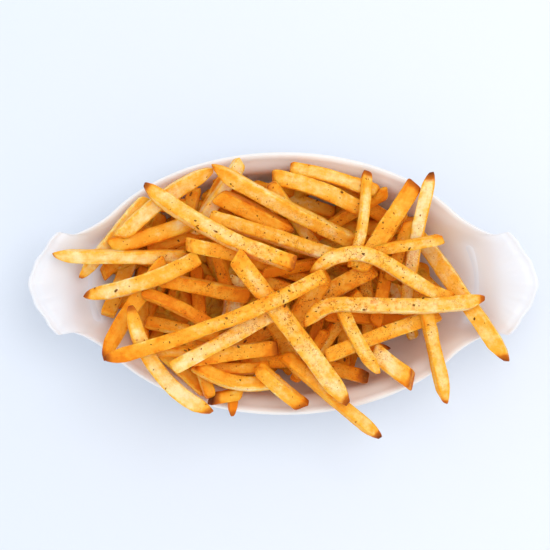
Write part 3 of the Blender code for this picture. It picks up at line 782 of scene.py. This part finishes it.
def new_piece(name, points, faces, material, layers=None, closed=True):
    """Adds an object. Its points are in millimetres, and layers gives values at them, by name."""
    mesh = bpy.data.meshes.new(name)
    mesh.from_pydata([tuple(c * MM for c in p) for p in points], [], faces)
    for title, values in (layers or {}).items():
        values = np.array(values, dtype=np.float32)
        kind, key = ("FLOAT", "value") if values.ndim == 1 else ("FLOAT_VECTOR", "vector")
        mesh.attributes.new(title, kind, "POINT").data.foreach_set(key, values.ravel())
    if closed:
        fix_normals(mesh)
    mesh.shade_smooth()
    mesh.materials.append(material)
    piece = bpy.data.objects.new(name, mesh)
    bpy.context.collection.objects.link(piece)
    return piece


# ---------------------------------------------------------------- materials
class Nodes:
    """Short ways to add shader nodes and join them."""

    def __init__(self, name):
        self.material = bpy.data.materials.new(name)
        self.material.use_nodes = True
        self.tree = self.material.node_tree
        self.shader = self.tree.nodes["Principled BSDF"]

    def add(self, kind, **settings):
        node = self.tree.nodes.new(kind)
        for key, value in settings.items():
            setattr(node, key, value)
        return node

    def link(self, source, target):
        self.tree.links.new(source, target)

    def feed(self, socket, value):
        if isinstance(value, bpy.types.NodeSocket):
            self.link(value, socket)
        else:
            socket.default_value = value

    def math(self, operation, a, b=0.0, clamp=False):
        node = self.add("ShaderNodeMath", operation=operation, use_clamp=clamp)
        self.feed(node.inputs[0], a)
        self.feed(node.inputs[1], b)
        return node.outputs[0]

    def noise(self, scale, detail=3.0, roughness=0.55, stretch=None, place=None):
        if place is None:
            place = self.add("ShaderNodeTexCoord").outputs["Object"]
        if stretch:
            mapping = self.add("ShaderNodeMapping")
            mapping.inputs["Scale"].default_value = stretch
            self.link(place, mapping.inputs["Vector"])
            place = mapping.outputs[0]
        node = self.add("ShaderNodeTexNoise")
        self.link(place, node.inputs["Vector"])
        node.inputs["Scale"].default_value = scale
        node.inputs["Detail"].default_value = detail
        node.inputs["Roughness"].default_value = roughness
        return node.outputs["Fac"]

    def ramp(self, factor, *stops):
        node = self.add("ShaderNodeValToRGB")
        for _ in range(len(stops) - 2):
            node.color_ramp.elements.new(0.5)
        for element, (place, colour) in zip(node.color_ramp.elements, stops):
            element.position = place
            element.color = (*colour, 1)
        self.feed(node.inputs["Fac"], factor)
        return node.outputs["Color"]

    def mix(self, factor, a, b, blend="MIX"):
        node = self.add("ShaderNodeMix", data_type="RGBA", blend_type=blend)
        self.feed(node.inputs[0], factor)
        for socket, value in ((node.inputs[6], a), (node.inputs[7], b)):
            self.feed(socket, value if isinstance(value, bpy.types.NodeSocket) else (*value, 1))
        return node.outputs[2]

    def attribute(self, name):
        return self.add("ShaderNodeAttribute", attribute_name=name).outputs["Fac"]

    def spread(self, value, low, high):
        """value from low to high, as 0 to 1."""
        node = self.add("ShaderNodeMapRange", clamp=True)
        self.feed(node.inputs[0], value)
        node.inputs[1].default_value = low
        node.inputs[2].default_value = high
        return node.outputs[0]

    def bump(self, height, strength, distance, under=None):
        node = self.add("ShaderNodeBump")
        node.inputs["Strength"].default_value = strength
        node.inputs["Distance"].default_value = distance
        self.link(height, node.inputs["Height"])
        if under:
            self.link(under, node.inputs["Normal"])
        return node.outputs[0]


PALE = (0.95, 0.74, 0.37)
CREAM = (0.95, 0.61, 0.19)
GOLD = (0.94, 0.465, 0.046)
ORANGE = (0.91, 0.335, 0.013)
DEEP = (0.82, 0.240, 0.006)
CRUST = (0.62, 0.165, 0.004)
TOAST = (0.37, 0.085, 0.003)
BURNT = (0.125, 0.028, 0.003)
SPOT = (0.78, 0.235, 0.006)
DUST = (0.42, 0.085, 0.003)
PEPPER_COLOURS = ((0.150, 0.055, 0.007), (0.35, 0.140, 0.018))
PAPRIKA_COLOURS = ((0.38, 0.075, 0.004), (0.55, 0.15, 0.008))
COOL_GLAZE = ((0.780, 0.785, 0.815), (0.795, 0.800, 0.830))
# Painted bounce light: the warm glow that the fries cast on the glaze inside the dish.
BOUNCE_LIT_GLAZE = (0.87, 0.825, 0.785)
BOUNCE_END = 100.0
BOUNCE_FADE = 20.0
# Painted light: the floor is drawn brighter toward the right, on the lamp's side.
FLOOR_SHADED_LEFT = (0.735, 0.785, 0.865)
FLOOR_LIT_RIGHT = (0.790, 0.825, 0.885)


def fry_material(name, painted_shade_tone):
    """Fried potato: pale where thick, golden and orange at the edges, brown at the tips, slightly oily."""
    n = Nodes(name)
    skin = n.add("ShaderNodeAttribute", attribute_name="skin").outputs["Vector"]
    patches = n.noise(75, 2, 0.5)
    fibre = n.noise(1, 3, 0.6, stretch=(90, 420, 420), place=skin)
    mottle = n.noise(210, 3, 0.6)
    grain = n.noise(560, 4, 0.65)
    specks = n.noise(1500, 2, 0.5)
    # Painted shade: the fries inside the heap and the core are drawn deeper than the fries on top.
    tone = n.math("ADD", n.attribute("tone"), painted_shade_tone)
    for pattern, share in ((patches, 0.75), (mottle, 0.55), (fibre, 0.55), (grain, 0.55)):
        tone = n.math("ADD", tone, n.math("MULTIPLY", n.math("SUBTRACT", pattern, 0.5), share))
    edges = n.math("MULTIPLY", n.attribute("edge"), n.spread(mottle, 0.30, 0.62))
    tone = n.math("ADD", tone, n.math("MULTIPLY", edges, 0.34))
    tone = n.math("SUBTRACT", tone, 0.02, clamp=True)
    colour = n.ramp(tone, (0.0, PALE), (0.24, CREAM), (0.48, GOLD), (0.82, ORANGE), (1.0, DEEP))
    burn = n.math("ADD", n.attribute("brown"), n.math("MULTIPLY", n.math("SUBTRACT", mottle, 0.5), 0.5))
    burnt = n.ramp(n.spread(burn, 0.0, 1.0), (0.0, ORANGE), (0.36, CRUST), (0.75, TOAST), (1.0, BURNT))
    colour = n.mix(n.spread(burn, 0.15, 0.50), colour, burnt)
    spots = n.math("MULTIPLY", n.spread(n.noise(430, 2), 0.56, 0.66), 0.7)
    colour = n.mix(n.math("MULTIPLY", spots, n.attribute("dust")), colour, SPOT)
    clusters = n.spread(n.noise(140, 2), 0.44, 0.62)
    dust = n.math("MULTIPLY", n.spread(specks, 0.52, 0.60), clusters)
    dust = n.math("MULTIPLY", dust, n.math("ADD", n.math("MULTIPLY", n.attribute("dust"), 0.60), 0.12))
    colour = n.mix(dust, colour, DUST)
    n.link(colour, n.shader.inputs["Base Color"])
    gloss = n.math("ADD", n.math("MULTIPLY", fibre, 0.32), 0.40)
    n.link(gloss, n.shader.inputs["Roughness"])
    n.shader.inputs["Specular IOR Level"].default_value = 0.12
    n.shader.inputs["Subsurface Weight"].default_value = 0.5
    n.shader.inputs["Subsurface Radius"].default_value = (1.0, 0.42, 0.08)
    n.shader.inputs["Subsurface Scale"].default_value = 0.005
    long = n.bump(fibre, 0.50, 0.0007)
    coarse = n.bump(grain, 0.40, 0.0005, long)
    n.link(n.bump(specks, 0.30, 0.00025, coarse), n.shader.inputs["Normal"])
    return n.material


def porcelain_material():
    """White glaze, with the faintest unevenness in its gloss, and warmer inside, near the fries: painted
    bounce light from them.
    """
    n = Nodes("white_glaze")
    cool = n.ramp(n.noise(18, 2), (0.3, COOL_GLAZE[0]), (0.7, COOL_GLAZE[1]))
    n.link(n.mix(n.attribute("painted_bounce"), cool, BOUNCE_LIT_GLAZE), n.shader.inputs["Base Color"])
    n.link(n.ramp(n.noise(60, 2), (0.3, (0.28, 0.28, 0.28)), (0.7, (0.38, 0.38, 0.38))),
           n.shader.inputs["Roughness"])
    n.shader.inputs["Specular IOR Level"].default_value = 0.28
    n.shader.inputs["Subsurface Weight"].default_value = 0.4
    n.shader.inputs["Subsurface Radius"].default_value = (1.0, 0.9, 0.85)
    n.shader.inputs["Subsurface Scale"].default_value = 0.006
    n.link(n.bump(n.noise(45, 1), 0.10, 0.0006), n.shader.inputs["Normal"])
    return n.material


def fleck_material(name, dark, light):
    n = Nodes(name)
    n.link(n.ramp(n.noise(900, 2), (0.35, dark), (0.65, light)), n.shader.inputs["Base Color"])
    n.shader.inputs["Roughness"].default_value = 0.8
    n.shader.inputs["Specular IOR Level"].default_value = 0.1
    n.link(n.bump(n.noise(2500, 2), 0.5, 0.0002), n.shader.inputs["Normal"])
    return n.material


def floor_material():
    n = Nodes("pale_floor")
    place = n.add("ShaderNodeSeparateXYZ")
    n.link(n.add("ShaderNodeTexCoord").outputs["Object"], place.inputs[0])
    # Painted light: the floor's colour grows brighter from left to right.
    across = n.spread(place.outputs["X"], -0.15, 0.15)
    n.link(n.mix(across, FLOOR_SHADED_LEFT, FLOOR_LIT_RIGHT), n.shader.inputs["Base Color"])
    n.shader.inputs["Roughness"].default_value = 0.9
    n.shader.inputs["Specular IOR Level"].default_value = 0.1
    return n.material


# ---------------------------------------------------------------- pieces
def ear_detail(rings, rim):
    """Adds the bead, groove, fine ribs and scallops of the handles. rim is the outline in plan."""
    x = np.abs(rings[..., 0])
    y = rings[..., 1]
    from_edge = np.linalg.norm(rings[..., :2] - rim, axis=-1)
    on_ear = np.clip((x - 101) / 6, 0, 1)
    on_top = on_ear * (np.arange(len(rings)) > RIM_TOP_START)[:, None]
    bead = BEAD_HEIGHT * np.exp(-((from_edge - BEAD_FROM_EDGE) / BEAD_WIDTH) ** 2)
    groove = GROOVE_DEPTH * np.exp(-((from_edge - GROOVE_FROM_EDGE) / GROOVE_WIDTH) ** 2)
    fan = np.degrees(np.arctan2(y, x - FLUTE_HUB)) / EAR_FAN
    fine = (1 + np.cos(fan * math.pi * (FINE_RIBS - 1))) / 2
    along_rib = np.clip((from_edge - 2) / 2, 0, 1) * np.clip((15 - from_edge) / 8, 0, 1)
    ribs = FINE_RIB_HEIGHT * fine ** 3 * along_rib
    rings[..., 2] += on_top * (bead - groove + ribs)
    valley = (1 - np.cos(fan * math.pi * (FLUTE_COUNT - 1))) / 2
    drawn = SCALLOP_DEPTH * on_ear * valley * np.clip(1 - from_edge / SCALLOP_REACH, 0, 1)
    rings[..., :2] *= (1 - drawn / np.linalg.norm(rings[..., :2], axis=-1).clip(1))[..., None]
    return rings


def smooth_profile(rings, steps):
    """More rings, on smooth curves through the given ones, with the spacing of those in mind."""
    rings = np.array(rings)
    padded = np.concatenate((2 * rings[:1] - rings[1:2], rings, 2 * rings[-1:] - rings[-2:-1]))
    gap = np.sqrt(np.linalg.norm(np.diff(padded, axis=0), axis=2)).clip(0.05)[..., None]
    made = [rings[0]]
    for k in range(len(rings) - 1):
        p0, p1, p2, p3 = padded[k:k + 4]
        d0, d1, d2 = gap[k:k + 3]
        leave = d1 * ((p1 - p0) / d0 - (p2 - p0) / (d0 + d1) + (p2 - p1) / d1)
        arrive = d1 * ((p2 - p1) / d1 - (p3 - p1) / (d1 + d2) + (p3 - p2) / d2)
        for i in range(1, steps + 1):
            t = i / steps
            made.append((2 * t ** 3 - 3 * t ** 2 + 1) * p1 + (t ** 3 - 2 * t ** 2 + t) * leave
                        + (3 * t ** 2 - 2 * t ** 3) * p2 + (t ** 3 - t ** 2) * arrive)
    return np.array(made)


def soften_lip(rings):
    """Rounds the way from the rim down into the dish, most of all at the handles."""
    first = RIM_TOP_START + 2 * PROFILE_STEPS
    last = len(rings) - PROFILE_STEPS
    share = np.clip((np.abs(rings[first, :, 0]) - 70) / 30, 0, 1)[None, :, None]
    above_foot = (last - np.arange(first, last)) / (LIP_FADE_RINGS * PROFILE_STEPS)
    weight = (0.25 + 0.75 * share) * np.clip(above_foot, 0, 1)[:, None, None]
    soft = rings.copy()
    for _ in range(LIP_ROUNDS):
        eased = (soft[first - 1:last - 1] + 2 * soft[first:last] + soft[first + 1:last + 1]) / 4
        soft[first:last] += (eased - soft[first:last]) * weight
    return soft


def build_dish():
    rings = soften_lip(smooth_profile(dish_rings(DISH_DETAIL), PROFILE_STEPS))
    rings = ear_detail(rings, rings[RIM_TOP_START, :, :2].copy())
    count = rings.shape[1]
    points = [tuple(p) for p in rings.reshape(-1, 3)]
    faces = []
    for r in range(len(rings) - 1):
        for i in range(count):
            j = (i + 1) % count
            faces.append((r * count + i, r * count + j, (r + 1) * count + j, (r + 1) * count + i))
    for ring, flip in ((0, True), (len(rings) - 1, False)):
        points.append(tuple(rings[ring].mean(axis=0)))
        for i in range(count):
            j = (i + 1) % count
            face = (ring * count + i, ring * count + j, len(points) - 1)
            faces.append(face[::-1] if flip else face)
    # Painted bounce light: warm inside the dish, fading out toward the handles, none on the outside.
    outside = np.zeros(RIM_TOP_START * count)
    inside = np.clip((BOUNCE_END - np.abs(rings[RIM_TOP_START:, :, 0])) / BOUNCE_FADE, 0, 1)
    painted_bounce = np.concatenate((outside, inside.ravel(), (0, 1)))
    dish = new_piece("dish_glazed", points, faces, porcelain_material(), {"painted_bounce": painted_bounce})
    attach(dish, "root")
    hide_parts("dish")
    return dish


def build_fries(rings):
    laid = lay_fries(rings)
    upper = FryMesh()
    for index, row in enumerate(FRIES):
        upper.add(row, laid[index], index + 1, SECTION_ANGLES, STEP, PATHS.get(index), SLIM.get(index, 1.0))
    top = upper.make("fries", fry_material("fried_potato", 0.0))
    dice = random.Random(11)
    inner = FryMesh()
    for index, (row, rest) in enumerate(fillers(rings, dice)):
        inner.add(row, rest, 200 + index, FILLER_ANGLES, FILLER_STEP)
    # Painted shade: the inside fries get 0.04 more tone than those on top.
    below = inner.make("fries_inside", fry_material("fried_potato_inside", 0.04))
    for piece in (top, below):
        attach(piece, "root")
    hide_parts("fries")
    return top, below


def build_core(rings):
    """The smaller, lumpy middle of the heap, which closes the view between the fries."""
    steps = np.linspace(0, 1, CORE_RINGS + 1)[1:]
    reach = np.linspace(0, 110, 441)
    points = []
    faces = []
    level_rows = []
    for k in range(CORE_SPOKES):
        turn = 2 * math.pi * k / CORE_SPOKES
        x = reach * math.cos(turn)
        y = reach * math.sin(turn)
        floor = dish_top(rings, x, y) + FRY_CLEARANCE
        top = mound(x, y) - CORE_DROP
        last = int(np.argmax(top - floor < 0.8)) - 1
        row = []
        for share in steps:
            p = int(last * share)
            lump = CORE_LUMPS * noise.noise(Vector((x[p], y[p], 0)) * 0.12) * (1 - share)
            row.append(((x[p], y[p], floor[p]), (x[p], y[p], max(top[p] + lump, floor[p] + 0.4))))
        level_rows.append(row)
    zero = np.zeros(1)
    poles = ((0, 0, dish_top(rings, zero, zero)[0] + FRY_CLEARANCE), (0, 0, mound(0, 0) - CORE_DROP))
    for layer in (0, 1):
        base = len(points)
        points.append(poles[layer])
        points.extend(row[s][layer] for row in level_rows for s in range(len(steps)))
        for k in range(CORE_SPOKES):
            n = (k + 1) % CORE_SPOKES
            here = base + 1 + k * len(steps)
            there = base + 1 + n * len(steps)
            faces.append((base, here, there))
            faces.extend((here + s, here + s + 1, there + s + 1, there + s) for s in range(len(steps) - 1))
    low = 1
    high = 1 + CORE_SPOKES * len(steps) + 1
    for k in range(CORE_SPOKES):
        n = (k + 1) % CORE_SPOKES
        a = k * len(steps) + len(steps) - 1
        b = n * len(steps) + len(steps) - 1
        faces.append((low + a, low + b, high + b, high + a))
    layers = {title: np.full(len(points), value) for title, value in CORE_LOOK.items()}
    # Painted shade: the core's deep tone and its extra 0.1 of tone stand for the shade deep in the heap.
    core = new_piece("heap_core", points, faces, fry_material("fried_potato_core", 0.1), layers)
    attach(core, "root")
    return core


def scatter(name, count, sizes, material, tree, seed):
    """Thin flecks on the fries. sizes gives the least, greatest and most common one."""
    dice = random.Random(seed)
    points = []
    faces = []
    made = 0
    while made < count:
        x = dice.gauss(FLECK_CENTRE[0], FLECK_SPREAD[0])
        y = dice.gauss(FLECK_CENTRE[1], FLECK_SPREAD[1])
        if abs(x) > FLECK_LIMIT[0] or abs(y) > FLECK_LIMIT[1]:
            continue
        hit, normal, _, _ = tree.ray_cast(Vector((x * MM, y * MM, 0.2)), Vector((0, 0, -1)))
        made += 1
        if hit is None or normal.z < STEEPEST_HOLD:
            continue
        hit /= MM
        size = dice.triangular(*sizes)
        turn = Matrix.Rotation(dice.uniform(0, 2 * math.pi), 3, "Z")
        lie = Vector((0, 0, 1)).rotation_difference(normal).to_matrix() @ turn
        long = dice.uniform(1.0, LONGEST_FLECK)
        base = len(points)
        for ring_height, ring_size in ((0.0, 0.8), (0.55, 1.0)):
            for k in range(6):
                angle = math.pi * k / 3
                wide = ring_size * dice.uniform(0.75, 1.2)
                spot = Vector((math.cos(angle) * wide * long, math.sin(angle) * wide,
                               ring_height * 2 * FLECK_FLATNESS))
                points.append(hit + lie @ (spot * size / 2))
        points.append(hit + lie @ (Vector((0, 0, 1.6 * FLECK_FLATNESS)) * size / 2))
        points.append(hit - normal * size * 0.25)
        for k in range(6):
            j = (k + 1) % 6
            faces.append((base + k, base + j, base + 6 + j, base + 6 + k))
            faces.append((base + 6 + k, base + 6 + j, base + 12))
            faces.append((base + j, base + k, base + 13))
    piece = new_piece(name, points, faces, material)
    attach(piece, "root")
    return piece


def season(top):
    view = bpy.context.evaluated_depsgraph_get()
    tree = BVHTree.FromObject(top, view)
    pepper = fleck_material("pepper", *PEPPER_COLOURS)
    paprika = fleck_material("paprika", *PAPRIKA_COLOURS)
    scatter("pepper_flecks", PEPPER_COUNT, PEPPER_SIZES, pepper, tree, 5)
    scatter("paprika_flecks", PAPRIKA_COUNT, PAPRIKA_SIZES, paprika, tree, 6)


# ---------------------------------------------------------------- floor, light and camera
def build_floor():
    corners = [(x * FLOOR_HALF, y * FLOOR_HALF, 0) for x, y in ((-1, -1), (1, -1), (1, 1), (-1, 1))]
    floor = new_piece("floor", corners, [(0, 1, 2, 3)], floor_material(), closed=False)


def light_scene():
    """An even pale sky, and a soft lamp above on the right."""
    world = bpy.data.worlds.new("studio")
    bpy.context.scene.world = world
    world.use_nodes = True
    sky = world.node_tree.nodes["Background"]
    sky.inputs["Color"].default_value = (0.95, 0.97, 1.0, 1)
    sky.inputs["Strength"].default_value = 1.04
    data = bpy.data.lights.new("key", "AREA")
    data.shape = "DISK"
    data.size = 0.9
    data.energy = 5.0
    data.color = (1.0, 0.985, 0.96)
    lamp = bpy.data.objects.new("key", data)
    lamp.location = (0.30, 0.30, 1.38)
    lamp.rotation_euler = (-lamp.location).to_track_quat("-Z", "Y").to_euler()
    bpy.context.collection.objects.link(lamp)


FLOOR_HALF = 3000.0
VIEW_CENTRE = (-4.0, 4.0)
VIEW_WIDTH = 258.5
CAMERA_HEIGHT = 2000.0
SENSOR = 36.0


def place_camera():
    data = bpy.data.cameras.new("camera")
    data.sensor_width = SENSOR
    data.lens = SENSOR * CAMERA_HEIGHT / VIEW_WIDTH
    data.clip_end = 20
    camera = bpy.data.objects.new("camera", data)
    camera.location = (VIEW_CENTRE[0] * MM, VIEW_CENTRE[1] * MM, (CAMERA_HEIGHT + RIM_HEIGHT) * MM)
    bpy.context.collection.objects.link(camera)
    bpy.context.scene.camera = camera
    bpy.context.scene.view_settings.view_transform = "Standard"


place_camera()
build_floor()
light_scene()
laying_rings = dish_rings(LAYING_DETAIL)
build_dish()
fries_on_top, _ = build_fries(laying_rings)
build_core(laying_rings)
season(fries_on_top)
bpy.context.view_layer.update()
